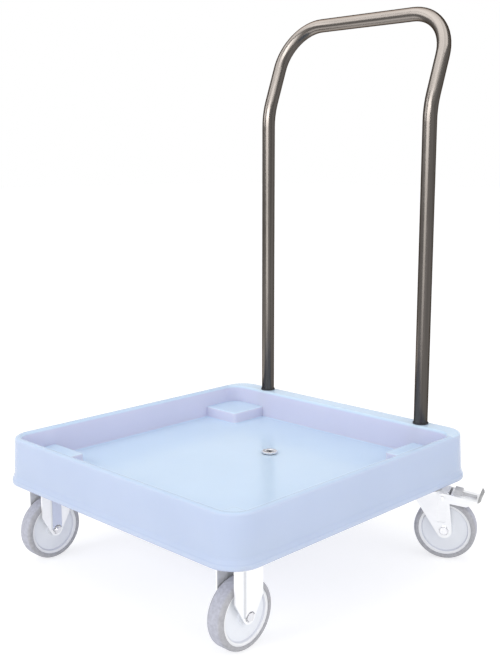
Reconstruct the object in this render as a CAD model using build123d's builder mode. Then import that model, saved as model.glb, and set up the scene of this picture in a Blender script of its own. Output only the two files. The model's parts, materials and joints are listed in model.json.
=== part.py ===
from build123d import *
import os
from math import atan, cos, degrees, radians, sin, tan

# Dish rack dolly: a moulded tray for a square rack, two rigid front casters, two braked swivel
# casters at the rear and a bent tube handle.
# Millimetres. +Z is up from the floor, +Y points to the handle and X runs across.
# The origin is on the floor, under the middle of the dolly's outer box.

# Fits
running_clearance = 0.05  # radial, a piece that turns on another
thread_clearance = 0.05  # radial, a screw in its thread
hole_clearance = 0.25  # radial, a bolt in a plain hole
socket_clearance = 0.15  # radial, the handle tube in the tray
side_clearance = 0.35  # between flat faces that pass each other
bond_clearance = 0.05  # radial, tyre on its rim
level_tolerance = 0.01  # edges this near a height lie at it

# Wheels
wheel_diameter = 103.5
tyre_width = 28.0
tyre_thickness = 8.0
tyre_shoulder = 6.0
rim_lip_width = 4.0
rim_lip_inset = 1.8  # rim face below the tyre's side
disc_dish = 3.5  # disc face below the rim lip
disc_cone = 1.5  # rise of the disc towards the hub
hub_diameter = 28.0

# Axles
axle_diameter = 8.0
axle_head = 5.3
axle_nut = 6.5
axle_end = 2.0  # thread past the nut
axle_flats = 12.0
sleeve_diameter = 12.0

# Pressed forks
sheet = 3.0
tyre_side_gap = 2.0  # tyre to fork leg
leg_width = 54.0
leg_knee = 25.0  # height of the knee over the axle
rigid_boss_radius = 11.2  # foot of a leg, round the axle
swivel_boss_radius = 13.0
axle_seat_radius = 8.2
axle_seat_depth = 2.5
channel_depth = 1.5
channel_rim = 1.5  # how far the back of a pressing reaches past its front
rib_height = 2.5
rib_width = 17.0  # across its flat top
rib_angle = 45.0
bend_radius = 2.5

# Caster plates
plate_length = 77.0  # along the dolly's X
plate_width = 67.0
plate_thickness = 3.5
plate_corner = 8.0
plate_pitch_x = 61.5
plate_pitch_y = 51.5
screw_diameter = 8.0
hex_flats = 13.0
screw_head = 6.0
screw_depth = 20.0
screw_hole_end = 4.0  # hole past the screw's tip
screw_flange_diameter = 15.5
screw_flange = 1.5

# Swivel heads
trail = 32.0
crown_clearance = 12.5  # tyre top to crown
crown_radius = 28.0
crown_front = 38.0
crown_back = 26.5
swivel_channel_x = 27.0
swivel_channel_width = 14.0
swivel_channel_foot = 14.0  # above the axle
swivel_channel_height = 33.0
ball_diameter = 5.4
ball_play = 0.3
ball_circle = 38.0
ball_count = 8
race_height = 12.0
race_lip = 1.8  # wall of the race round the balls
race_lip_gap = 0.8  # race wall to crown
race_width = 10.0
kingpin_diameter = 12.0
kingpin_head = 3.0
kingpin_foot = 3.5
kingpin_foot_diameter = 21.0
kingpin_head_diameter = 18.0
swivel_heading = 25.0  # right rear wheel at rest, degrees from +X towards +Y

# Foot brakes
pivot_x = 28.0
pivot_rise = 6.25  # pivot over the top of the tyre
pivot_diameter = 5.0
pivot_head = 1.6
pivot_head_diameter = 6.5
pedal_sheet = 2.5
pedal_ear_radius = 8.0
pedal_slope = 9.0
pedal_start = 41.0  # inner end of the tread, from the swivel axis
pedal_rise = 5.4  # tread over the pivot, at its inner end
pedal_side = 44.5  # straight length of the tread
pedal_nose = 5.0  # how far the rounded nose reaches
pedal_lip = 12.5
pedal_lip_lean = 11.0  # degrees outwards
flange_low_x = 39.0  # lowest corner of the side flange, from the pivot
flange_drop = 12.0
release_start = 4.0
release_length = 13.5
release_width = 20.0
release_height = 8.5
release_bar_length = 24.0
release_bar_width = 8.0
release_bar_height = 3.0
release_round = 1.5
shoe_start = 10.0
shoe_length = 15.0
shoe_width = 22.0
shoe_clearance = 0.3  # shoe to tyre with the brake on
brake_throw = 5.0  # degrees

# Tray
tray_width = 539.0
tray_depth = 561.0
corner_radius = 40.0
skirt_height = 78.0
seat_depth = 5.0  # caster seats sunk into the tray's underside
skirt_draft = 3.0
bead_height = 7.0
bead_reach = 3.0
bead_round = 2.0
bead_foot_round = 2.5
flare_height = 9.0
flare_round = 9.0
rim_width = 10.5
rear_rim_width = 34.0
rim_flat = 1.5  # level strip along the rim's crest
recess_depth = 51.0
recess_draft = 4.5
recess_corner = 28.0
floor_round = 4.0
pad_size = 78.0
pad_height = 20.0
pad_corner = 6.0
pad_round = 3.0
seat_margin = 4.5  # caster seat past the caster plate
caster_side_inset = 42.5  # caster axis in from the rim
caster_front_inset = 52.5
caster_rear_inset = 56.5

# Handle
tube_diameter = 24.0
tube_wall = 1.5
handle_width = 364.0  # between the legs' axes
kink_above_rim = 537.0
bar_above_rim = 697.0
handle_lean = 20.3
kink_bend = 130.0
corner_bend = 80.0
socket_depth = 64.0
socket_floor = 6.0
seal_height = 2.5
seal_width = 1.4
plug_length = 30.0
handle_bolt_diameter = 8.0
handle_bolt_head = 5.3
handle_washer = 1.6
handle_washer_diameter = 16.0
bolt_well_clearance = 2.0

# Drain
drain_offset = 86.0  # from the middle of the recess, towards the handle
drain_diameter = 27.0
drain_height = 3.2
drain_round = 1.4
drain_opening = 15.0
drain_tail_diameter = 20.0
drain_tail_end = 4.0  # thread past the back nut
drain_bar = 2.0
gasket_thickness = 1.2
back_nut_flats = 28.0
back_nut_height = 6.0

# Heights
wheel_radius = wheel_diameter / 2
axle_z = wheel_radius
crown_z = wheel_diameter + crown_clearance
ball_gap = ball_diameter + 2 * ball_play
mount_z = crown_z + sheet + ball_gap + race_height + plate_thickness
plate_z = mount_z - plate_thickness
skirt_z = mount_z - seat_depth
rim_z = skirt_z + skirt_height
floor_z = rim_z - recess_depth
pad_z = floor_z + pad_height
tube_end_z = rim_z - socket_depth
socket_floor_z = tube_end_z - socket_floor
kink_z = rim_z + kink_above_rim
bar_z = rim_z + bar_above_rim

# Places along Y, with the tray set so that the whole dolly is centred on the origin
skirt_slope = tan(radians(skirt_draft))
recess_slope = tan(radians(recess_draft))
foot_spread = skirt_height * skirt_slope
leg_offset = (tray_depth - rear_rim_width) / 2
bar_lean = (bar_z - kink_z) * tan(radians(handle_lean))
front_reach = tray_depth / 2 + foot_spread + bead_reach
rear_reach = leg_offset + bar_lean + tube_diameter / 2
tray_y = (front_reach - rear_reach) / 2
recess_y = tray_y - (rear_rim_width - rim_width) / 2
leg_y = tray_y + leg_offset
drain_y = recess_y + drain_offset
recess_width = tray_width - 2 * rim_width
recess_length = tray_depth - rim_width - rear_rim_width
rim_round = (rim_width - rim_flat) / 2

# Caster places
caster_x = tray_width / 2 - caster_side_inset
front_y = tray_y - tray_depth / 2 + caster_front_inset
rear_y = tray_y + tray_depth / 2 - caster_rear_inset
caster_seats = [(-caster_x, front_y), (caster_x, front_y), (-caster_x, rear_y), (caster_x, rear_y)]
handle_feet = [(-handle_width / 2, leg_y), (handle_width / 2, leg_y)]

# Fork and wheel widths, measured out from the wheel's middle plane
leg_inside = tyre_width / 2 + tyre_side_gap
leg_outside = leg_inside + sheet
sleeve_half = leg_inside - axle_seat_depth
axle_seat = leg_outside - axle_seat_depth
hub_half = sleeve_half - side_clearance
rim_radius = wheel_radius - tyre_thickness
flange_inside = leg_outside + side_clearance
flange_outside = flange_inside + pedal_sheet
axle_hex_radius = axle_flats / 2 / cos(radians(30))
hex_radius = hex_flats / 2 / cos(radians(30))
pivot_z = wheel_diameter + pivot_rise
pedal_plane = Plane(
    origin=(pedal_start, 0, pivot_z + pedal_rise),
    x_dir=(cos(radians(pedal_slope)), 0, -sin(radians(pedal_slope))),
    z_dir=(sin(radians(pedal_slope)), 0, cos(radians(pedal_slope))),
)

os.makedirs("parts", exist_ok=True)


def save(piece, name, spot=Location()):
    """Writes a piece at its spot under its own name."""
    with BuildPart() as placed:
        with Locations(spot):
            add(piece)
    placed.part.label = name
    export_step(placed.part, f"parts/{name}.step")


def edges_at(piece, z):
    """Edges of a piece that lie at a height."""
    return piece.edges().filter_by_position(Axis.Z, z - level_tolerance, z + level_tolerance)


def skirt_outline(z, inset):
    """Outline of the drafted skirt at a height, set in from its face."""
    spread = (rim_z - z) * skirt_slope - inset
    RectangleRounded(tray_width + 2 * spread, tray_depth + 2 * spread, corner_radius + spread)


def recess_outline(z, inset):
    """Outline of the rack recess at a height, set in from its wall."""
    shrink = (rim_z - z) * recess_slope + inset
    RectangleRounded(recess_width - 2 * shrink, recess_length - 2 * shrink, recess_corner - shrink)


# Deeper middle of the recess, between the corner pads, as the solid that is cut from the tray
with BuildPart() as recess_middle:
    pad_level = 2 * (rim_z - pad_z) * recess_slope
    with BuildSketch(Plane.XY.offset(pad_z)) as middle:
        with Locations((0, recess_y)):
            Rectangle(recess_width - pad_level, recess_length - pad_level - 2 * pad_size)
            Rectangle(recess_width - pad_level - 2 * pad_size, recess_length - pad_level)
        fillet(middle.vertices().sort_by_distance((0, recess_y))[:4], pad_corner)
    extrude(amount=-pad_height, taper=recess_draft)
    fillet(recess_middle.edges().group_by(Axis.Z)[0], floor_round)

# Tray: a closed double skin, with the rack recess and its pads above, caster seats below and
# sockets for the handle down through the wide rear rim
with BuildPart() as tray:
    with BuildSketch(Plane.XY.offset(skirt_z)):
        with Locations((0, tray_y)):
            skirt_outline(skirt_z, 0)
    extrude(amount=skirt_height, taper=skirt_draft)

    # Bead and flare round the foot of the skirt
    bead_top_z = skirt_z + bead_height
    flare_top_z = bead_top_z + flare_height
    flare_angle = degrees(atan((bead_reach + bead_height * skirt_slope) / flare_height + skirt_slope))
    with BuildSketch(Plane.XY.offset(skirt_z)):
        with Locations((0, tray_y)):
            skirt_outline(skirt_z, -bead_reach)
    extrude(amount=bead_height)
    with BuildSketch(Plane.XY.offset(bead_top_z)):
        with Locations((0, tray_y)):
            skirt_outline(skirt_z, -bead_reach)
    extrude(amount=flare_height + bead_height, taper=flare_angle)
    fillet(edges_at(tray, flare_top_z), flare_round)
    fillet(edges_at(tray, bead_top_z), bead_round)
    fillet(tray.edges().group_by(Axis.Z)[0], bead_foot_round)

    # Rack recess down to the pads, then its middle down to the floor
    with BuildSketch(Plane.XY.offset(rim_z)):
        with Locations((0, recess_y)):
            recess_outline(rim_z, 0)
    extrude(amount=pad_z - rim_z, taper=recess_draft, mode=Mode.SUBTRACT)
    fillet(tray.edges().group_by(Axis.Z)[-1], rim_round)
    add(recess_middle.part, mode=Mode.SUBTRACT)
    pad_reach_x = recess_width / 2 - pad_size / 4
    pad_reach_y = recess_length / 2 - pad_size / 4
    pad_edges = edges_at(tray, pad_z).filter_by_position(Axis.X, -pad_reach_x, pad_reach_x)
    pad_edges = pad_edges.filter_by_position(Axis.Y, recess_y - pad_reach_y, recess_y + pad_reach_y)
    fillet(pad_edges, pad_round)

    # Caster seats, sunk into the underside
    with BuildSketch(Plane.XY.offset(skirt_z)):
        with Locations(*caster_seats):
            RectangleRounded(plate_length + 2 * seat_margin, plate_width + 2 * seat_margin, plate_corner)
    extrude(amount=seat_depth, mode=Mode.SUBTRACT)

    # Handle sockets, each with a bolt hole and a well for the bolt's head
    with BuildSketch(Plane.XY.offset(tube_end_z)):
        with Locations(*handle_feet):
            Circle(tube_diameter / 2 + socket_clearance)
    extrude(amount=socket_depth, mode=Mode.SUBTRACT)
    with BuildSketch(Plane.XY.offset(socket_floor_z)):
        with Locations(*handle_feet):
            Circle(handle_bolt_diameter / 2 + hole_clearance)
    extrude(amount=socket_floor, mode=Mode.SUBTRACT)
    with BuildSketch(Plane.XY.offset(skirt_z)):
        with Locations(*handle_feet):
            Circle(handle_washer_diameter / 2 + bolt_well_clearance)
    extrude(amount=socket_floor_z - skirt_z, mode=Mode.SUBTRACT)

    # Screw holes and the drain hole
    with BuildSketch(Plane.XY.offset(mount_z)):
        with Locations(*caster_seats):
            with GridLocations(plate_pitch_x, plate_pitch_y, 2, 2):
                Circle(screw_diameter / 2 + thread_clearance)
    extrude(amount=screw_depth + screw_hole_end, mode=Mode.SUBTRACT)
    with BuildSketch(Plane.XY.offset(skirt_z)):
        with Locations((0, drain_y)):
            Circle(drain_tail_diameter / 2 + hole_clearance)
    extrude(amount=floor_z - skirt_z, mode=Mode.SUBTRACT)
save(tray.part, "tray")

# Handle: one tube, up both legs, back at the kinks and across the top
with BuildPart() as handle_tube:
    leg_x = handle_width / 2
    with BuildLine() as handle_path:
        FilletPolyline(
            (-leg_x, leg_y, tube_end_z),
            (-leg_x, leg_y, kink_z),
            (-leg_x, leg_y + bar_lean, bar_z),
            (leg_x, leg_y + bar_lean, bar_z),
            (leg_x, leg_y, kink_z),
            (leg_x, leg_y, tube_end_z),
            radius=[kink_bend, corner_bend, corner_bend, kink_bend],
        )
    with BuildSketch(Plane(origin=(-leg_x, leg_y, tube_end_z))):
        Circle(tube_diameter / 2)
        Circle(tube_diameter / 2 - tube_wall, mode=Mode.SUBTRACT)
    sweep(path=handle_path.wire())
save(handle_tube.part, "handle_tube")

# Ring that seals each leg to the rim
with BuildPart() as handle_seals:
    with BuildSketch(Plane.XY.offset(rim_z)):
        with Locations(*handle_feet):
            Circle(tube_diameter / 2 + socket_clearance + seal_width)
            Circle(tube_diameter / 2 + socket_clearance, mode=Mode.SUBTRACT)
    extrude(amount=seal_height)
save(handle_seals.part, "handle_seals")

# Threaded plug in the foot of each leg
with BuildPart() as handle_plugs:
    with BuildSketch(Plane.XY.offset(tube_end_z)):
        with Locations(*handle_feet):
            Circle(tube_diameter / 2 - tube_wall - bond_clearance)
            Circle(handle_bolt_diameter / 2 + thread_clearance, mode=Mode.SUBTRACT)
    extrude(amount=plug_length)
save(handle_plugs.part, "handle_plugs")

# Washer and bolt that draw each leg down into its socket
washer_z = socket_floor_z - handle_washer
with BuildPart() as handle_washers:
    with BuildSketch(Plane.XY.offset(washer_z)):
        with Locations(*handle_feet):
            Circle(handle_washer_diameter / 2)
            Circle(handle_bolt_diameter / 2 + hole_clearance, mode=Mode.SUBTRACT)
    extrude(amount=handle_washer)
save(handle_washers.part, "handle_washers")

with BuildPart() as handle_bolts:
    with BuildSketch(Plane.XY.offset(washer_z - handle_bolt_head)):
        with Locations(*handle_feet):
            RegularPolygon(hex_radius, 6)
    extrude(amount=handle_bolt_head)
    with BuildSketch(Plane.XY.offset(washer_z)):
        with Locations(*handle_feet):
            Circle(handle_bolt_diameter / 2)
    extrude(amount=tube_end_z + plug_length / 2 - washer_z)
save(handle_bolts.part, "handle_bolts")

# Drain: gasket, flanged body with a crossed strainer, and back nut
drain_seat_z = floor_z + gasket_thickness
drain_tail = drain_seat_z - skirt_z + back_nut_height + drain_tail_end
with BuildPart() as drain_gasket:
    with BuildSketch(Plane.XY.offset(floor_z)):
        with Locations((0, drain_y)):
            Circle(drain_diameter / 2 - gasket_thickness)
            Circle(drain_tail_diameter / 2 + hole_clearance, mode=Mode.SUBTRACT)
    extrude(amount=gasket_thickness)
save(drain_gasket.part, "drain_gasket")

with BuildPart() as drain_body:
    with BuildSketch(Plane.XY.offset(drain_seat_z)):
        with Locations((0, drain_y)):
            Circle(drain_diameter / 2)
    extrude(amount=drain_height)
    fillet(drain_body.edges().group_by(Axis.Z)[-1], drain_round)
    with BuildSketch(Plane.XY.offset(drain_seat_z - drain_tail)):
        with Locations((0, drain_y)):
            Circle(drain_tail_diameter / 2)
    extrude(amount=drain_tail)
    with BuildSketch(Plane.XY.offset(drain_seat_z - drain_tail)):
        with Locations((0, drain_y)):
            Circle(drain_opening / 2)
    extrude(amount=drain_tail + drain_height, mode=Mode.SUBTRACT)
    chamfer(drain_body.edges().filter_by(GeomType.CIRCLE).group_by(Axis.Z)[-1], drain_round)
    with BuildSketch(Plane.XY.offset(drain_seat_z)):
        with Locations((0, drain_y)):
            with PolarLocations(0, 2, angular_range=90, endpoint=True):
                Rectangle(drain_opening + drain_bar, drain_bar)
    extrude(amount=-drain_bar)
save(drain_body.part, "drain_body")

with BuildPart() as drain_back_nut:
    with BuildSketch(Plane.XY.offset(skirt_z)):
        with Locations((0, drain_y)):
            RegularPolygon(back_nut_flats / 2, 6, major_radius=False)
            Circle(drain_tail_diameter / 2 + thread_clearance, mode=Mode.SUBTRACT)
    extrude(amount=-back_nut_height)
save(drain_back_nut.part, "drain_back_nut")

# Tyre with rounded shoulders, about its own centre, axle along Y
with BuildPart() as tyre:
    tyre_bore = rim_radius + bond_clearance
    with BuildSketch() as tyre_section:
        with Locations(((tyre_bore + wheel_radius) / 2, 0)):
            Rectangle(wheel_radius - tyre_bore, tyre_width)
        fillet(tyre_section.vertices().group_by(Axis.X)[-1], tyre_shoulder)
    revolve(axis=Axis.Y)

# Wheel disc with a raised rim lip and a hub that turns on the sleeve
with BuildPart() as hub:
    bore_radius = sleeve_diameter / 2 + running_clearance
    lip_face = tyre_width / 2 - rim_lip_inset
    lip_radius = rim_radius - rim_lip_width
    with BuildSketch() as hub_section:
        with BuildLine():
            Polyline(
                (bore_radius, 0),
                (bore_radius, hub_half),
                (hub_diameter / 2, hub_half),
                (hub_diameter / 2, lip_face - disc_dish + disc_cone),
                (lip_radius - disc_dish / 2, lip_face - disc_dish),
                (lip_radius, lip_face),
                (rim_radius, lip_face),
                (rim_radius, 0),
                close=True,
            )
        make_face()
        mirror(about=Plane.XZ)
    revolve(axis=Axis.Y)

# Axle bolt, nut and sleeve, about the wheel's centre
with BuildPart() as axle_bolt:
    with BuildSketch(Plane.XZ.offset(axle_seat)):
        RegularPolygon(axle_hex_radius, 6)
    extrude(amount=axle_head)
    with BuildSketch(Plane.XZ.offset(axle_seat)):
        Circle(axle_diameter / 2)
    extrude(amount=-(2 * axle_seat + axle_nut + axle_end))

with BuildPart() as axle_nut_piece:
    with BuildSketch(Plane.XZ.offset(-axle_seat)):
        RegularPolygon(axle_hex_radius, 6)
        Circle(axle_diameter / 2 + thread_clearance, mode=Mode.SUBTRACT)
    extrude(amount=-axle_nut)

with BuildPart() as axle_sleeve:
    with BuildSketch(Plane.XZ):
        Circle(sleeve_diameter / 2)
        Circle(axle_diameter / 2 + hole_clearance, mode=Mode.SUBTRACT)
    extrude(amount=sleeve_half, both=True)


def fork_leg(corners, axle_x, boss_radius):
    """One fork leg on the +Y side: flat sheet down to the axle, with a dished seat round its hole."""
    with BuildPart() as leg:
        with BuildSketch(Plane.XZ.offset(-leg_outside)) as outline:
            with Locations((axle_x, axle_z)):
                Circle(boss_radius)
            with BuildLine():
                Polyline(*corners)
            make_hull()
        extrude(outline.sketch, amount=sheet)
        with BuildSketch(Plane.XZ.offset(-leg_inside)):
            with Locations((axle_x, axle_z)):
                Circle(axle_seat_radius + channel_rim)
        extrude(amount=axle_seat_depth)
        with BuildSketch(Plane.XZ.offset(-leg_outside)):
            with Locations((axle_x, axle_z)):
                Circle(axle_seat_radius)
        extrude(amount=axle_seat_depth, mode=Mode.SUBTRACT)
        with BuildSketch(Plane.XZ.offset(-leg_outside)):
            with Locations((axle_x, axle_z)):
                Circle(axle_diameter / 2 + hole_clearance)
        extrude(amount=sheet + axle_seat_depth, mode=Mode.SUBTRACT)
    return leg.part


# Caster plate with its four holes
with BuildPart() as caster_plate:
    with BuildSketch(Plane.XY.offset(plate_z)):
        RectangleRounded(plate_width, plate_length, plate_corner)
        with GridLocations(plate_pitch_y, plate_pitch_x, 2, 2):
            Circle(screw_diameter / 2 + hole_clearance, mode=Mode.SUBTRACT)
    extrude(amount=plate_thickness)

# Leg of the rigid bracket, with a rib pressed outwards from the plate down to the axle seat
groove_foot_z = axle_z + axle_seat_radius + channel_rim + sheet
with BuildPart() as rigid_leg:
    knee_z = axle_z + leg_knee
    leg_half = leg_width / 2
    leg_corners = [(-leg_half, knee_z), (-leg_half, plate_z), (leg_half, plate_z), (leg_half, knee_z)]
    add(fork_leg(leg_corners, 0, rigid_boss_radius))
    with BuildSketch(Plane.XZ.offset(-leg_outside)):
        with Locations((0, (axle_z + plate_z) / 2)):
            Rectangle(rib_width + 2 * rib_height, plate_z - axle_z)
    extrude(amount=-rib_height, taper=rib_angle)
    with BuildSketch(Plane.XZ.offset(-leg_inside)):
        with Locations((0, (groove_foot_z + plate_z) / 2 - sheet)):
            Rectangle(rib_width - sheet, plate_z - groove_foot_z - 2 * sheet)
    extrude(amount=-rib_height, mode=Mode.SUBTRACT)
    with BuildSketch(Plane.XZ.offset(-axle_seat)):
        with Locations((0, axle_z)):
            Circle(axle_seat_radius)
    extrude(amount=-axle_seat_depth - rib_height, mode=Mode.SUBTRACT)

# Rigid bracket: plate, web and two straight legs
with BuildPart() as rigid_bracket:
    add(caster_plate.part)
    with BuildSketch(Plane.XY.offset(plate_z - sheet)):
        Rectangle(leg_width, 2 * leg_inside)
    extrude(amount=sheet)
    add(rigid_leg.part)
    mirror(rigid_leg.part, about=Plane.XZ)

# Screws of one caster plate, driven up into the tray
with BuildPart() as plate_screws:
    with BuildSketch(Plane.XY.offset(plate_z - screw_head)):
        with GridLocations(plate_pitch_y, plate_pitch_x, 2, 2):
            RegularPolygon(hex_radius, 6)
    extrude(amount=screw_head)
    with BuildSketch(Plane.XY.offset(plate_z - screw_flange)):
        with GridLocations(plate_pitch_y, plate_pitch_x, 2, 2):
            Circle(screw_flange_diameter / 2)
    extrude(amount=screw_flange)
    with BuildSketch(Plane.XY.offset(plate_z)):
        with GridLocations(plate_pitch_y, plate_pitch_x, 2, 2):
            Circle(screw_diameter / 2)
    extrude(amount=plate_thickness + screw_depth)

# Swivel top plate with the upper ball race
race_outer = (ball_circle + race_width) / 2
race_inner = (ball_circle - race_width) / 2
with BuildPart() as top_plate:
    add(caster_plate.part)
    with BuildSketch(Plane.XY.offset(plate_z)):
        Circle(race_outer)
        Circle(race_inner, mode=Mode.SUBTRACT)
    extrude(amount=-race_height)
    with BuildSketch(Plane.XY.offset(plate_z - race_height)):
        Circle(race_outer)
        Circle(race_outer - race_lip, mode=Mode.SUBTRACT)
    extrude(amount=race_lip_gap - ball_gap)
    with BuildSketch(Plane.XY.offset(plate_z)):
        Circle(kingpin_diameter / 2 + bond_clearance)
    extrude(amount=plate_thickness, mode=Mode.SUBTRACT)
    with BuildSketch(Plane.XY.offset(mount_z)):
        Circle(kingpin_head_diameter / 2 + bond_clearance)
    sink_angle = degrees(atan((kingpin_head_diameter - kingpin_diameter) / 2 / kingpin_head))
    extrude(amount=-kingpin_head, taper=sink_angle, mode=Mode.SUBTRACT)

# Kingpin, countersunk in the plate and headed under the crown
with BuildPart() as kingpin:
    pin_radius = kingpin_diameter / 2
    foot_z = crown_z - side_clearance
    with BuildSketch(Plane.XZ):
        with BuildLine():
            Polyline(
                (0, foot_z - kingpin_foot),
                (kingpin_foot_diameter / 2, foot_z - kingpin_foot),
                (kingpin_foot_diameter / 2, foot_z),
                (pin_radius, foot_z),
                (pin_radius, mount_z - kingpin_head),
                (kingpin_head_diameter / 2, mount_z),
                (0, mount_z),
                close=True,
            )
        make_face()
    revolve(axis=Axis.Z)

# Ring of bearing balls
with BuildPart() as bearing_balls:
    with Locations((0, 0, crown_z + sheet + ball_gap / 2)):
        with PolarLocations(ball_circle / 2, ball_count):
            Sphere(ball_diameter / 2)

# Leg of the swivel fork, swept back to the axle, with a shallow pressed channel
with BuildPart() as swivel_leg:
    channel_mid = (swivel_channel_x, axle_z + swivel_channel_foot + swivel_channel_height / 2)
    add(fork_leg([(-crown_back, crown_z), (crown_front, crown_z)], trail, swivel_boss_radius))
    with BuildSketch(Plane.XZ.offset(-leg_inside)):
        with Locations(channel_mid):
            Rectangle(swivel_channel_width + 2 * channel_rim, swivel_channel_height)
    extrude(amount=channel_depth)
    with BuildSketch(Plane.XZ.offset(-leg_outside)):
        with Locations(channel_mid):
            Rectangle(swivel_channel_width, swivel_channel_height)
    extrude(amount=channel_depth, mode=Mode.SUBTRACT)

# Swivel fork: round crown and two legs, with holes for the kingpin and the brake pivot
with BuildPart() as swivel_fork:
    with BuildSketch(Plane.XY.offset(crown_z)):
        Circle(crown_radius)
        with Locations(((crown_front - crown_back) / 2, 0)):
            Rectangle(crown_front + crown_back, 2 * leg_outside)
        Circle(kingpin_diameter / 2 + running_clearance, mode=Mode.SUBTRACT)
    extrude(amount=sheet)
    add(swivel_leg.part)
    mirror(swivel_leg.part, about=Plane.XZ)
    bends = swivel_fork.edges().filter_by(Axis.X).group_by(Axis.Z)[-1]
    fillet(bends, bend_radius)
    with BuildSketch(Plane.XZ):
        with Locations((pivot_x, pivot_z)):
            Circle(pivot_diameter / 2 + running_clearance)
    extrude(amount=leg_outside, both=True, mode=Mode.SUBTRACT)

# Brake pivot pin, headed outside the pedal's flanges
pin_head_y = flange_outside + side_clearance
with BuildPart() as pivot_pin:
    with BuildSketch(Plane.XZ):
        with Locations((pivot_x, pivot_z)):
            Circle(pivot_diameter / 2)
    extrude(amount=pin_head_y, both=True)
    for side in (1, -1):
        with BuildSketch(Plane.XZ.offset(side * pin_head_y)):
            with Locations((pivot_x, pivot_z)):
                Circle(pivot_head_diameter / 2)
        extrude(amount=side * pivot_head)

# Side flange of the brake pedal, from the pivot ear out along the tread
tread_root = pedal_plane.from_local_coords(Vector(0, 0, 0))
tread_end = pedal_plane.from_local_coords(Vector(pedal_side, 0, 0))
tread_under = pedal_plane.from_local_coords(Vector(pedal_side, 0, -pedal_sheet))
with BuildPart() as pedal_flange:
    with BuildSketch(Plane.XZ.offset(-flange_outside)):
        with Locations((pivot_x, pivot_z)):
            Circle(pedal_ear_radius)
        with BuildLine():
            Polyline(
                (tread_root.X, tread_root.Z),
                (tread_end.X, tread_end.Z),
                (tread_under.X, tread_under.Z),
                (pivot_x + flange_low_x, pivot_z - flange_drop),
            )
        make_hull()
        with Locations((pivot_x, pivot_z)):
            Circle(pivot_diameter / 2 + running_clearance, mode=Mode.SUBTRACT)
    extrude(amount=pedal_sheet)

# Brake pedal: tread, rounded nose with an upright lip, and the two flanges
nose_radius = (flange_outside**2 + pedal_nose**2) / (2 * pedal_nose)
nose_tip = pedal_side + pedal_nose
with BuildPart() as brake_pedal:
    with BuildSketch(pedal_plane):
        with BuildLine():
            nose = ThreePointArc((pedal_side, flange_outside), (nose_tip, 0), (pedal_side, -flange_outside))
            Polyline(nose @ 1, (0, -flange_outside), (0, flange_outside), nose @ 0)
        make_face()
    extrude(amount=-pedal_sheet)
    with BuildSketch(pedal_plane):
        with Locations((nose_tip - nose_radius, 0)):
            Circle(nose_radius)
            Circle(nose_radius - pedal_sheet, mode=Mode.SUBTRACT)
        with Locations((pedal_side + pedal_nose / 2, 0)):
            Rectangle(pedal_nose, 2 * flange_outside, mode=Mode.INTERSECT)
    lip_lean = Vector(sin(radians(pedal_lip_lean)), 0, cos(radians(pedal_lip_lean)))
    extrude(amount=pedal_lip, dir=pedal_plane.from_local_coords(lip_lean) - pedal_plane.origin)
    add(pedal_flange.part)
    mirror(pedal_flange.part, about=Plane.XZ)

# Release block and its bar, seated on the tread
with BuildPart() as brake_release:
    with BuildSketch(pedal_plane):
        with Locations((release_start + release_length / 2, 0)):
            Rectangle(release_length, release_width)
    extrude(amount=release_height)
    fillet(brake_release.faces().sort_by(Axis.Z)[-1].edges(), release_round)
    with BuildSketch(pedal_plane):
        with Locations((release_start + release_length + release_bar_length / 2, 0)):
            Rectangle(release_bar_length, release_bar_width)
    extrude(amount=release_bar_height)

# Brake shoe under the tread, hollowed to the tyre
shoe_far = pedal_start + shoe_start + shoe_length
shoe_swing = (pivot_z - axle_z) * sin(radians(brake_throw))
shoe_gap = shoe_clearance + shoe_swing * (shoe_far - trail) / wheel_radius
with BuildPart() as brake_shoe:
    with BuildSketch(pedal_plane.offset(-pedal_sheet)):
        with Locations((shoe_start + shoe_length / 2, 0)):
            Rectangle(shoe_length, shoe_width)
    extrude(amount=-crown_clearance - shoe_length)
    with BuildSketch(Plane.XZ):
        with Locations((trail, axle_z)):
            Circle(wheel_radius + shoe_gap)
    extrude(amount=shoe_width, both=True, mode=Mode.SUBTRACT)

# Front casters roll along Y
for side, seat, turn in zip(("left", "right"), caster_seats[:2], (-90, 90)):
    spot = Location((*seat, 0), (0, 0, turn))
    wheel_spot = spot * Location((0, 0, axle_z))
    save(rigid_bracket.part, f"front_{side}_bracket", spot)
    save(plate_screws.part, f"front_{side}_screws", spot)
    save(axle_bolt.part, f"front_{side}_axle_bolt", wheel_spot)
    save(axle_nut_piece.part, f"front_{side}_axle_nut", wheel_spot)
    save(axle_sleeve.part, f"front_{side}_axle_sleeve", wheel_spot)
    save(hub.part, f"front_{side}_hub", wheel_spot)
    save(tyre.part, f"front_{side}_tyre", wheel_spot)

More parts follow.
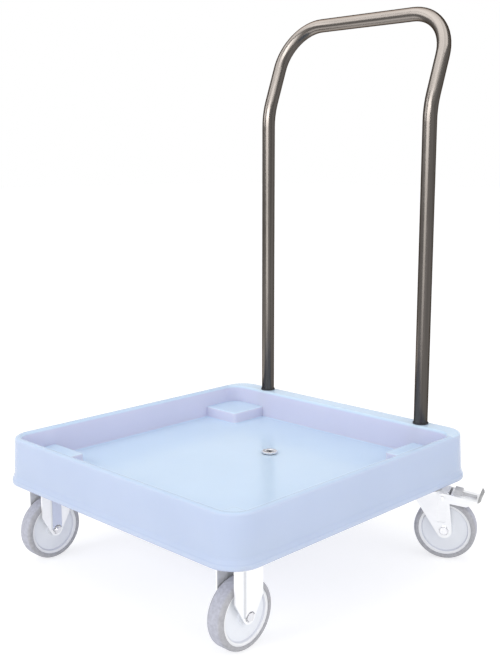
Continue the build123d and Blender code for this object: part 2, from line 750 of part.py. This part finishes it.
# Rear casters rest turned outwards, each the mirror of the other
headings = (180 - swivel_heading, swivel_heading)
for side, seat, heading, turn in zip(("left", "right"), caster_seats[2:], headings, (180, 0)):
    plate_spot = Location((*seat, 0), (0, 0, 90))
    spot = Location((*seat, 0), (0, 0, heading))
    wheel_spot = spot * Location((trail, 0, axle_z), (0, 0, turn))
    save(top_plate.part, f"rear_{side}_top_plate", plate_spot)
    save(plate_screws.part, f"rear_{side}_screws", plate_spot)
    save(kingpin.part, f"rear_{side}_kingpin", plate_spot)
    save(bearing_balls.part, f"rear_{side}_balls", spot)
    save(swivel_fork.part, f"rear_{side}_fork", spot)
    save(pivot_pin.part, f"rear_{side}_pivot_pin", spot)
    save(brake_pedal.part, f"rear_{side}_pedal", spot)
    save(brake_release.part, f"rear_{side}_release", spot)
    save(brake_shoe.part, f"rear_{side}_shoe", spot)
    save(axle_bolt.part, f"rear_{side}_axle_bolt", wheel_spot)
    save(axle_nut_piece.part, f"rear_{side}_axle_nut", wheel_spot)
    save(axle_sleeve.part, f"rear_{side}_axle_sleeve", wheel_spot)
    save(hub.part, f"rear_{side}_hub", wheel_spot)
    save(tyre.part, f"rear_{side}_tyre", wheel_spot)
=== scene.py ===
import json
import math

import bpy
from mathutils import Matrix, Vector


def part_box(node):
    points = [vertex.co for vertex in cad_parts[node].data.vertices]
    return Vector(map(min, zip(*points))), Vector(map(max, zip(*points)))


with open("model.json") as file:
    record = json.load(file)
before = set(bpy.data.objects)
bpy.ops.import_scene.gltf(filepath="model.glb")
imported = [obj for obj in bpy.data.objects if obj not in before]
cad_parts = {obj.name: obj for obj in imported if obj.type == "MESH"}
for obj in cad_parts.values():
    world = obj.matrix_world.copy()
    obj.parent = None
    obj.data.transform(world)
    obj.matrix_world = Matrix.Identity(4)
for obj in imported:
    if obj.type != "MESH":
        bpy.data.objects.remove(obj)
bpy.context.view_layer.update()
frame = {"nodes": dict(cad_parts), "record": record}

nodes = frame["nodes"]
record = frame["record"]
scene = bpy.context.scene

# The photograph's camera, in pixels, metres and degrees
PHOTO_SIZE = (500, 659)
FOCAL_PX = 960.3
CAMERA_PLACE = (1.0987, -1.12476, 0.6631)
CAMERA_AZIMUTH = 44.278
CAMERA_ELEVATION = 9.957
CAMERA_ROLL = -0.042
SENSOR_MM = 36.0
CLIP_END = 60.0

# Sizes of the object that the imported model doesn't hold, in metres and degrees
REAR_RIM = 0.2050  # where the wide rear rim begins, along Y
BEAD_RISE = 0.0085  # crease over the skirt's bead, above the tray's foot
KINK_RISE = 0.537  # kink of the handle, above the rim
HANDLE_LEAN = 20.3
LEG_OFFSET = 0.005  # outer face of a bracket's leg, from the tyre's side
RIB_HEIGHT = 0.0025
PEDAL_LIP = (0.0565, 0.0585)  # where a pedal turns into its lip, from its pivot

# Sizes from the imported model
tray_low, tray_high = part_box("tray")
tyre_low, tyre_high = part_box("front_left_tyre")
recess = next(opening for opening in record["physics"]["openings"] if opening["name"] == "rack_recess")
RECESS_MIDDLE = [(low + high) / 2 for low, high in zip(*recess["box_m"])]
RIM_TOP = tray_high[2]
BEAD_TOP = tray_low[2] + BEAD_RISE
KINK_HEIGHT = RIM_TOP + KINK_RISE
TYRE_HALF = (tyre_high[0] - tyre_low[0]) / 2
LEG_FACE = TYRE_HALF + LEG_OFFSET

WHITE = (1, 1, 1)
NOISE_RANGE = (0.3, 0.7)  # where most values of a noise lie
CLOUD_RANGE = (0.35, 0.65)


def material(name):
    """A new node material, its node tree and its shader."""
    made = bpy.data.materials.new(name)
    made.use_nodes = True
    tree = made.node_tree
    return made, tree, tree.nodes["Principled BSDF"]


def node(tree, kind, **values):
    """A shader node with its inputs and settings given by name."""
    made = tree.nodes.new(kind)
    for key, value in values.items():
        if key in made.inputs:
            made.inputs[key].default_value = value
        else:
            setattr(made, key, value)
    return made


def coordinates(tree):
    """Object coordinates, in metres."""
    return node(tree, "ShaderNodeTexCoord").outputs["Object"]


def split(tree, vector):
    """The X, Y and Z of a vector."""
    made = node(tree, "ShaderNodeSeparateXYZ")
    tree.links.new(vector, made.inputs["Vector"])
    return made.outputs


def stretched(tree, vector, stretch):
    """A vector scaled along each axis, for streaks."""
    made = node(tree, "ShaderNodeMapping", Scale=stretch)
    tree.links.new(vector, made.inputs["Vector"])
    return made.outputs["Vector"]


def with_fixed(tree, operation, vector, fixed):
    """A vector's difference from, or product with, a fixed vector."""
    made = node(tree, "ShaderNodeVectorMath", operation=operation)
    made.inputs[1].default_value = fixed
    tree.links.new(vector, made.inputs[0])
    return made.outputs["Value" if operation == "DOT_PRODUCT" else "Vector"]


def combined(tree, operation, first, second):
    """The sum or the larger of two values."""
    made = node(tree, "ShaderNodeMath", operation=operation)
    tree.links.new(first, made.inputs[0])
    tree.links.new(second, made.inputs[1])
    return made.outputs["Value"]


def remap(tree, value, source, target=(0.0, 1.0)):
    """A value mapped from one range onto another, and held at its ends."""
    made = node(tree, "ShaderNodeMapRange")
    for key, limit in zip(("From Min", "From Max", "To Min", "To Max"), (*source, *target)):
        made.inputs[key].default_value = limit
    tree.links.new(value, made.inputs["Value"])
    return made.outputs["Result"]


def noise(tree, place, scale, detail, rough=0.55):
    """A noise over a place."""
    made = node(tree, "ShaderNodeTexNoise", Scale=scale, Detail=detail, Roughness=rough)
    tree.links.new(place, made.inputs["Vector"])
    return made.outputs["Fac"]


def ramp(tree, share, stops):
    """A colour from stops along a share between 0 and 1."""
    made = node(tree, "ShaderNodeValToRGB")
    elements = made.color_ramp.elements
    while len(elements) < len(stops):
        elements.new(1.0)
    for element, (position, tone) in zip(elements, stops):
        element.position = position
        element.color = (*tone, 1)
    tree.links.new(share, made.inputs["Fac"])
    return made.outputs["Color"]


def two_tone(tree, share, tones, span=CLOUD_RANGE):
    """A colour between two tones."""
    return ramp(tree, share, tuple(zip(span, tones)))


def bands(tree, value, stops):
    """A colour from stops along a value of any range."""
    start, end = stops[0][0], stops[-1][0]
    share = remap(tree, value, (start, end))
    return ramp(tree, share, [((stop - start) / (end - start), tone) for stop, tone in stops])


def mixed(tree, share, first, second):
    """A colour between two others."""
    made = node(tree, "ShaderNodeMix", data_type="RGBA")
    tree.links.new(share, made.inputs["Factor"])
    tree.links.new(first, made.inputs["A"])
    tree.links.new(second, made.inputs["B"])
    return made.outputs["Result"]


def shaded(tree, tone, shade):
    """A tone multiplied by a second colour."""
    made = node(tree, "ShaderNodeMix", data_type="RGBA", blend_type="MULTIPLY")
    made.inputs["Factor"].default_value = 1.0
    tree.links.new(tone, made.inputs["A"])
    tree.links.new(shade, made.inputs["B"])
    return made.outputs["Result"]


def paint(tree, shader, tone):
    """Gives the shader its colour."""
    tree.links.new(tone, shader.inputs["Base Color"])


def uneven_sheen(tree, shader, place, scale, detail, roughness):
    """Gives the shader a roughness that varies in patches between two values."""
    patches = noise(tree, place, scale, detail)
    tree.links.new(remap(tree, patches, NOISE_RANGE, roughness), shader.inputs["Roughness"])


def relief(tree, shader, height, depth, strength):
    """Gives the shader a fine bump."""
    made = node(tree, "ShaderNodeBump", Strength=strength, Distance=depth)
    tree.links.new(height, made.inputs["Height"])
    tree.links.new(made.outputs["Normal"], shader.inputs["Normal"])


def moulded(name, tones, roughness, patch, sheen_patch, grain, depth, strength):
    """Moulded plastic or rubber, with a cloudy tone, an uneven sheen and a fine skin.

    Returns the material, its node tree, its shader and its tone.
    """
    made, tree, shader = material(name)
    place = coordinates(tree)
    tone = two_tone(tree, noise(tree, place, patch, detail=5.0), tones)
    paint(tree, shader, tone)
    uneven_sheen(tree, shader, place, sheen_patch, detail=6.0, roughness=roughness)
    relief(tree, shader, noise(tree, place, grain, detail=2.0), depth, strength)
    return made, tree, shader, tone


def plated(name, tones, roughness, grain, depth, strength, metallic=1.0):
    """Metal with streaks or specks, by how its grain is stretched.

    Returns the material, its node tree, its shader and its tone.
    """
    made, tree, shader = material(name)
    shader.inputs["Metallic"].default_value = metallic
    place = coordinates(tree)
    streak = noise(tree, stretched(tree, place, grain), scale=1.0, detail=6.0, rough=0.65)
    tone = two_tone(tree, streak, tones, NOISE_RANGE)
    paint(tree, shader, tone)
    uneven_sheen(tree, shader, place, scale=40.0, detail=4.0, roughness=roughness)
    relief(tree, shader, streak, depth, strength)
    return made, tree, shader, tone


# Tray: pale blue moulded plastic; its recess walls painted paler and its level faces paler and greener, as
# painted light, and its crest darker, as painted shade
TRAY_OUTER = (0.512, 0.594, 0.758)
# Painted light on the recess walls and level faces, painted shade on the rim's crest
TRAY_RECESS_PAINTED_LIGHT = (0.640, 0.655, 0.800)
TRAY_LEVEL_PAINTED_LIGHT = (0.590, 0.738, 0.904)
TRAY_CREST_PAINTED_SHADE = (0.488, 0.610, 0.780)
# Painted shade in the crease over the skirt's bead and on the foot under it
TRAY_CREASE_PAINTED_SHADE = (0.92, 0.93, 0.955)
TRAY_FOOT_PAINTED_SHADE = (0.93, 0.92, 0.965)
CLOUD_LIFT = 0.02  # how much paler the clouds in each tone are
CREST_BAND = (RIM_TOP - 0.005, RIM_TOP - 0.002)  # heights over which the rim's crest sets in
REAR_BAND = (REAR_RIM, REAR_RIM + 0.004)  # places along Y over which the rear rim sets in
TURN_BAND = (-0.15, 0.15)  # from faces turned to the middle of the recess to those turned away
LEVEL_BAND = (0.4, 0.95)  # from upright to level faces, by the Z of the normal
BEAD_SHADES = (
    (BEAD_TOP - 0.0067, TRAY_FOOT_PAINTED_SHADE),
    (BEAD_TOP - 0.0048, WHITE),
    (BEAD_TOP - 0.0016, WHITE),
    (BEAD_TOP, TRAY_CREASE_PAINTED_SHADE),
    (BEAD_TOP + 0.0016, WHITE),
)


def tray_colour_with_painted_light(tree, place):
    """A tone for each side of the tray: its own on outer faces, painted light on recess walls and level
    faces, painted shade on the crest.
    """
    cloud = noise(tree, place, scale=7.0, detail=5.0)
    outer, inner, level, crest = (
        two_tone(tree, cloud, (tone, [part + CLOUD_LIFT for part in tone]))
        for tone in (TRAY_OUTER, TRAY_RECESS_PAINTED_LIGHT, TRAY_LEVEL_PAINTED_LIGHT, TRAY_CREST_PAINTED_SHADE)
    )
    spot = split(tree, place)
    normal = node(tree, "ShaderNodeNewGeometry").outputs["Normal"]
    outward = with_fixed(tree, "SUBTRACT", place, RECESS_MIDDLE)
    turned_out = node(tree, "ShaderNodeVectorMath", operation="DOT_PRODUCT")
    tree.links.new(with_fixed(tree, "MULTIPLY", outward, (1, 1, 0)), turned_out.inputs[0])
    tree.links.new(normal, turned_out.inputs[1])
    inside = remap(tree, turned_out.outputs["Value"], TURN_BAND, (1.0, 0.0))
    below_crest = remap(tree, spot["Z"], CREST_BAND, (1.0, 0.0))
    on_rear_rim = remap(tree, spot["Y"], REAR_BAND)
    wide = combined(tree, "MAXIMUM", below_crest, on_rear_rim)
    facing_up = remap(tree, split(tree, normal)["Z"], LEVEL_BAND)
    upright = mixed(tree, inside, outer, mixed(tree, below_crest, level, inner))
    return mixed(tree, facing_up, upright, mixed(tree, wide, crest, level))


def tray_shade(tree, place):
    """Painted shade: a soft dark line in the crease over the skirt's bead, and a darker foot under the
    bead.
    """
    return bands(tree, split(tree, place)["Z"], BEAD_SHADES)


def tray_plastic():
    made, tree, shader = material("tray_plastic")
    place = coordinates(tree)
    # Tones with painted light and painted shade, multiplied by the painted shade at the bead
    paint(tree, shader, shaded(tree, tray_colour_with_painted_light(tree, place), tray_shade(tree, place)))
    uneven_sheen(tree, shader, place, scale=21.0, detail=6.0, roughness=(0.14, 0.22))
    shader.inputs["Specular IOR Level"].default_value = 0.26
    shader.inputs["Subsurface Weight"].default_value = 0.4
    shader.inputs["Subsurface Radius"].default_value = (1.0, 0.9, 0.9)
    shader.inputs["Subsurface Scale"].default_value = 0.02
    relief(tree, shader, noise(tree, place, scale=900.0, detail=2.0), depth=0.0002, strength=0.05)
    return made


# Handle: stainless tube, polished along its length, whose dark tone is a painted reflection of dark
# surroundings
HANDLE_PAINTED_DARK_TONES = ((0.074, 0.067, 0.061), (0.126, 0.114, 0.105))
HANDLE_EDGE = (0.30, 0.27, 0.25)
HANDLE_GRAIN = (3, 420, 3)


def along_handle(tree, place):
    """A place with its Y taken from the plane of the legs, and above the kink from that of the loop."""
    spot = split(tree, place)
    slope = math.tan(math.radians(HANDLE_LEAN))
    lean_back = remap(tree, spot["Z"], (KINK_HEIGHT, KINK_HEIGHT + 1), (0.0, -slope))
    made = node(tree, "ShaderNodeCombineXYZ")
    tree.links.new(spot["X"], made.inputs["X"])
    tree.links.new(combined(tree, "ADD", spot["Y"], lean_back), made.inputs["Y"])
    tree.links.new(spot["Z"], made.inputs["Z"])
    return made.outputs["Vector"]


def handle_steel():
    made, tree, shader = material("handle_steel")
    shader.inputs["Metallic"].default_value = 1.0
    shader.inputs["Specular Tint"].default_value = (*HANDLE_EDGE, 1)
    place = coordinates(tree)
    streaked = stretched(tree, along_handle(tree, place), HANDLE_GRAIN)
    streak = noise(tree, streaked, scale=1.0, detail=2.0, rough=0.5)
    # Dark tones: a painted reflection of dark surroundings
    paint(tree, shader, two_tone(tree, streak, HANDLE_PAINTED_DARK_TONES, NOISE_RANGE))
    uneven_sheen(tree, shader, place, scale=30.0, detail=4.0, roughness=(0.20, 0.27))
    relief(tree, shader, streak, depth=0.0001, strength=0.02)
    return made


# Pressed and plated sheet of the casters
ZINC = {
    "tones": ((0.95, 0.957, 0.972), (0.985, 0.99, 1.0)),
    "roughness": (0.30, 0.42),
    "grain": (40, 40, 300),
    "depth": 0.0001,
    "strength": 0.03,
    "metallic": 0.65,
}

# Fasteners, pins, sleeves and balls
STEEL = {
    "tones": ((0.72, 0.72, 0.74), (0.82, 0.82, 0.84)),
    "roughness": (0.28, 0.42),
    "grain": (700, 700, 90),
    "depth": 0.0002,
    "strength": 0.06,
}

# Drain
CHROME = {
    "tones": ((0.70, 0.70, 0.73), (0.82, 0.82, 0.85)),
    "roughness": (0.22, 0.32),
    "grain": (500, 500, 500),
    "depth": 0.0001,
    "strength": 0.05,
}

# Seals and brake shoes
RUBBER = {
    "tones": ((0.028, 0.029, 0.034), (0.045, 0.046, 0.052)),
    "roughness": (0.55, 0.75),
    "patch": 60.0,
    "sheen_patch": 180.0,
    "grain": 1500.0,
    "depth": 0.0003,
    "strength": 0.15,
}

# Block and bar on each brake pedal
RELEASE = {
    "tones": ((0.56, 0.56, 0.575), (0.64, 0.64, 0.655)),
    "roughness": (0.45, 0.60),
    "patch": 60.0,
    "sheen_patch": 180.0,
    "grain": 1400.0,
    "depth": 0.0003,
    "strength": 0.15,
}


def from_joint(tree, joint):
    """A place measured from a joint."""
    return with_fixed(tree, "SUBTRACT", coordinates(tree), joint["pos_m"])


# Rigid brackets, with painted shade on the front flanks of their ribs and a painted blue reflection of the
# tray on the ribs that face the middle
BRACKET_FLANK_PAINTED_SHADE = (0.70, 0.71, 0.73)
BRACKET_RIB_PAINTED_REFLECTION = (0.62, 0.66, 0.79)
FORWARDS = (0, -1, 0)
# Painted shade by the forward part of a face's normal, and painted reflection by the distance from the
# wheel's middle plane
FLANK_SHADES = ((0.45, WHITE), (0.60, BRACKET_FLANK_PAINTED_SHADE), (0.80, BRACKET_FLANK_PAINTED_SHADE), (0.92, WHITE))
RIB_PAINTED_REFLECTIONS = ((LEG_FACE + 0.5 * RIB_HEIGHT, WHITE), (LEG_FACE + 0.9 * RIB_HEIGHT, BRACKET_RIB_PAINTED_REFLECTION))


def bracket_zinc_with_painted_light(caster, joint):
    """A rigid bracket, duller on a rib's front flank as painted shade, bluer on the rib facing the middle
    as a painted reflection.
    """
    made, tree, shader, tone = plated(f"{caster}_zinc", **ZINC)
    normal = node(tree, "ShaderNodeTexCoord").outputs["Normal"]
    flank = bands(tree, with_fixed(tree, "DOT_PRODUCT", normal, FORWARDS), FLANK_SHADES)
    to_middle = (-math.copysign(1, joint["pos_m"][0]), 0, 0)
    rib = bands(tree, with_fixed(tree, "DOT_PRODUCT", from_joint(tree, joint), to_middle), RIB_PAINTED_REFLECTIONS)
    # Painted shade on the flank and a painted reflection on the rib
    paint(tree, shader, shaded(tree, shaded(tree, tone, flank), rib))
    return made


# Wheels: a pale disc inside a rim lip painted lighter as painted light, with a ring of painted shade
# between them
DISC_FACE = (0.885, 0.91, 0.955)
DISC_STEP_PAINTED_SHADE = (0.74, 0.76, 0.82)
DISC_LIP_PAINTED_LIGHT = (0.96, 0.97, 0.985)
# At shares of the wheel's radius
DISC_RINGS = ((0.715, DISC_FACE), (0.730, DISC_STEP_PAINTED_SHADE), (0.748, DISC_STEP_PAINTED_SHADE), (0.766, DISC_LIP_PAINTED_LIGHT))
DISC = {
    "tones": ((0.95, 0.95, 0.95), WHITE),
    "roughness": (0.34, 0.50),
    "patch": 25.0,
    "sheen_patch": 75.0,
    "grain": 1200.0,
    "depth": 0.0003,
    "strength": 0.08,
}


def disc_grey(caster, joint):
    """A wheel disc with its rings of painted light and painted shade. The wheel's radius is the height of
    its axle.
    """
    made, tree, shader, tone = moulded(f"{caster}_disc_grey", **DISC)
    radius = node(tree, "ShaderNodeVectorMath", operation="LENGTH")
    spoke = with_fixed(tree, "CROSS_PRODUCT", from_joint(tree, joint), joint["axis"])
    tree.links.new(spoke, radius.inputs[0])
    wheel_radius = joint["pos_m"][2]
    rings = [(share * wheel_radius, ring) for share, ring in DISC_RINGS]
    # Painted light on the lip and painted shade at the step
    paint(tree, shader, shaded(tree, tone, bands(tree, radius.outputs["Value"], rings)))
    return made


# Tyres: grey rubber, paler and bluer on the tread than on the sides, whose darker grey is painted shade
TYRE_TREAD = (0.525, 0.535, 0.610)
TYRE_SIDE_PAINTED_SHADE = (0.475, 0.475, 0.50)
TYRE_SHADES = ((0.60 * TYRE_HALF, TYRE_TREAD), (0.86 * TYRE_HALF, TYRE_SIDE_PAINTED_SHADE))
TYRE = {
    "tones": ((0.82, 0.82, 0.82), WHITE),
    "roughness": (0.55, 0.75),
    "patch": 220.0,
    "sheen_patch": 180.0,
    "grain": 1500.0,
    "depth": 0.0005,
    "strength": 0.25,
}


def tyre_grey(caster, joint):
    made, tree, shader, tone = moulded(f"{caster}_tyre_grey", **TYRE)
    sideways = with_fixed(tree, "DOT_PRODUCT", from_joint(tree, joint), joint["axis"])
    across = node(tree, "ShaderNodeMath", operation="ABSOLUTE")
    tree.links.new(sideways, across.inputs[0])
    # Sides darker as painted shade
    paint(tree, shader, shaded(tree, tone, bands(tree, across.outputs["Value"], TYRE_SHADES)))
    return made


# Brake pedals, with the lip that the foot pushes painted dark and streaked, as painted shade
LIP_SHADE_TONES = ((0.24, 0.24, 0.243), (0.34, 0.34, 0.343))
LIP_STREAK_GRAIN = (300, 300, 60)


def pedal_zinc_with_painted_shade(caster, joint):
    made, tree, shader, tone = plated(f"{caster}_pedal_zinc_with_painted_shade", **ZINC)
    axis_x, axis_y, _ = joint["axis"]
    reach = with_fixed(tree, "DOT_PRODUCT", from_joint(tree, joint), (axis_y, -axis_x, 0))
    lip_streaks = noise(tree, stretched(tree, coordinates(tree), LIP_STREAK_GRAIN), scale=1.0, detail=5.0)
    # Painted shade on the lip, streaked
    on_lip = remap(tree, reach, PEDAL_LIP)
    paint(tree, shader, mixed(tree, on_lip, tone, two_tone(tree, lip_streaks, LIP_SHADE_TONES)))
    return made


def finish_node(name, finish):
    """Gives a CAD node one material."""
    nodes[name].data.materials.clear()
    nodes[name].data.materials.append(finish)


# Finishes by the record's slots, and then those that are worked out from a joint
finishes = {
    "tray_plastic": tray_plastic(),
    "handle_steel": handle_steel(),
    "zinc": plated("zinc", **ZINC)[0],
    "steel": plated("steel", **STEEL)[0],
    "drain_chrome": plated("drain_chrome", **CHROME)[0],
    "black_rubber": moulded("black_rubber", **RUBBER)[0],
    "release_grey": moulded("release_grey", **RELEASE)[0],
}
for part in record["subparts"]:
    if part["material_slot"] in finishes:
        finish_node(part["node"], finishes[part["material_slot"]])

for joint in record["behaviour"]["joints"]:
    if joint["name"].endswith("_roll"):
        caster = joint["name"].removesuffix("_roll")
        finish_node(f"{caster}_hub", disc_grey(caster, joint))
        finish_node(f"{caster}_tyre", tyre_grey(caster, joint))
        if f"{caster}_bracket" in nodes:
            finish_node(f"{caster}_bracket", bracket_zinc_with_painted_light(caster, joint))
    if joint["name"].endswith("_brake_press"):
        caster = joint["name"].removesuffix("_brake_press")
        finish_node(f"{caster}_pedal", pedal_zinc_with_painted_shade(caster, joint))


def seen_directly(tree):
    """1 for a ray from the camera, a mirror or glass, 0 for light on a surface."""
    path = node(tree, "ShaderNodeLightPath").outputs
    mirrored = combined(tree, "MAXIMUM", path["Is Camera Ray"], path["Is Glossy Ray"])
    return combined(tree, "MAXIMUM", mirrored, path["Is Transmission Ray"])


# Floor: plain and pale, near white where it is seen
FLOOR_HALF = 20.0
FLOOR_TONES = ((0.49, 0.49, 0.49), (0.51, 0.51, 0.51))
FLOOR_GLOW = (0.33, 0.64)  # as light on the object, and as seen


def floor_paint():
    made, tree, shader = material("floor_paint")
    cloud = noise(tree, coordinates(tree), scale=1.5, detail=4.0)
    paint(tree, shader, two_tone(tree, cloud, FLOOR_TONES))
    shader.inputs["Roughness"].default_value = 0.9
    shader.inputs["Specular IOR Level"].default_value = 0.1
    shader.inputs["Emission Color"].default_value = (*WHITE, 1)
    glow = remap(tree, seen_directly(tree), (0.0, 1.0), FLOOR_GLOW)
    tree.links.new(glow, shader.inputs["Emission Strength"])
    return made


floor_mesh = bpy.data.meshes.new("floor")
corners = [(-1, -1), (1, -1), (1, 1), (-1, 1)]
floor_mesh.from_pydata([(x * FLOOR_HALF, y * FLOOR_HALF, 0) for x, y in corners], [], [(0, 1, 2, 3)])
floor_mesh.materials.append(floor_paint())
floor = bpy.data.objects.new("floor", floor_mesh)
scene.collection.objects.link(floor)

# Room: pale light on the object, and a white backdrop where it is seen
ROOM_TONE = (0.98, 0.98, 1.0)
ROOM_STRENGTH = 0.76
scene.world = bpy.data.worlds.new("studio")
scene.world.use_nodes = True
sky = scene.world.node_tree
sky.nodes.clear()
room = node(sky, "ShaderNodeBackground", Color=(*ROOM_TONE, 1), Strength=ROOM_STRENGTH)
backdrop = node(sky, "ShaderNodeBackground", Color=(*WHITE, 1), Strength=1.0)
room_or_backdrop = node(sky, "ShaderNodeMixShader")
sky.links.new(seen_directly(sky), room_or_backdrop.inputs["Fac"])
sky.links.new(room.outputs["Background"], room_or_backdrop.inputs[1])
sky.links.new(backdrop.outputs["Background"], room_or_backdrop.inputs[2])
sky_output = node(sky, "ShaderNodeOutputWorld")
sky.links.new(room_or_backdrop.outputs["Shader"], sky_output.inputs["Surface"])


def soft_light(name, place, aim, size, power):
    """A rectangular lamp aimed at a point, in metres and watts."""
    lamp = bpy.data.lights.new(name, "AREA")
    lamp.shape = "RECTANGLE"
    lamp.size, lamp.size_y = size
    lamp.energy = power
    made = bpy.data.objects.new(name, lamp)
    made.location = place
    made.rotation_euler = (Vector(aim) - Vector(place)).to_track_quat("-Z", "Y").to_euler()
    made.visible_camera = False
    scene.collection.objects.link(made)
    return made


# Light: a soft lamp over the object, and fills around it that nothing mirrors
FILL_AIM = (0, 0, 0.2)
FILL_SIZE = (2.0, 1.0)
FILLS = (
    ("front_fill", (-0.85, -3.1, 1.9), 30),
    ("side_fill", (3.1, 0.85, 1.9), 17),
    ("low_fill", (2.4, -2.5, 0.6), 19),
)
soft_light("overhead", place=(-0.6, -0.2, 2.8), aim=(0, 0, 0.1), size=(2.2, 2.2), power=10)
for name, place, power in FILLS:
    soft_light(name, place, FILL_AIM, FILL_SIZE, power).visible_glossy = False

# Bright cards that only the polished pieces mirror: name, place, aim, size and power
POLISHED_SLOTS = ("handle_steel", "steel")
CARDS = (
    ("tall_card", (0.45, -1.95, 1.60), (0.05, 0.24, 1.60), (2.0, 1.9), 76),
    ("kink_card", (0.45, -1.93, 1.55), (0.05, 0.24, 1.55), (2.0, 0.8), 28),
    ("low_card", (0.62, -1.95, 0.33), (0.20, 0.24, 0.33), (1.2, 0.64), 10),
    ("floor_card", (-0.95, 0.05, 0.004), (-0.95, 0.05, 2.0), (1.3, 1.8), 14),
    ("ceiling_card", (0.1, -0.6, 2.9), (0.1, -0.6, 0.0), (6.2, 3.6), 310),
    ("left_card", (-2.6, -2.4, 1.9), (0, 0, 0.9), (1.6, 1.6), 42),
)
polished = bpy.data.collections.new("polished")
for part in record["subparts"]:
    if part["material_slot"] in POLISHED_SLOTS:
        polished.objects.link(nodes[part["node"]])
for name, place, aim, size, power in CARDS:
    card = soft_light(name, place, aim, size, power)
    card.visible_diffuse = False
    card.light_linking.receiver_collection = polished

# Camera
azimuth = math.radians(CAMERA_AZIMUTH)
elevation = math.radians(CAMERA_ELEVATION)
level_reach = math.cos(elevation)
forward = Vector((-math.sin(azimuth) * level_reach, math.cos(azimuth) * level_reach, -math.sin(elevation)))
lens = bpy.data.cameras.new("photo_camera")
lens.sensor_width = SENSOR_MM
lens.lens = FOCAL_PX * SENSOR_MM / max(PHOTO_SIZE)
lens.clip_end = CLIP_END
camera = bpy.data.objects.new("photo_camera", lens)
roll = Matrix.Rotation(math.radians(CAMERA_ROLL), 4, "Z")
turn = forward.to_track_quat("-Z", "Y").to_matrix().to_4x4() @ roll
camera.matrix_world = Matrix.Translation(CAMERA_PLACE) @ turn
scene.collection.objects.link(camera)
bpy.context.scene.camera = camera
bpy.context.scene.view_settings.view_transform = "Standard"
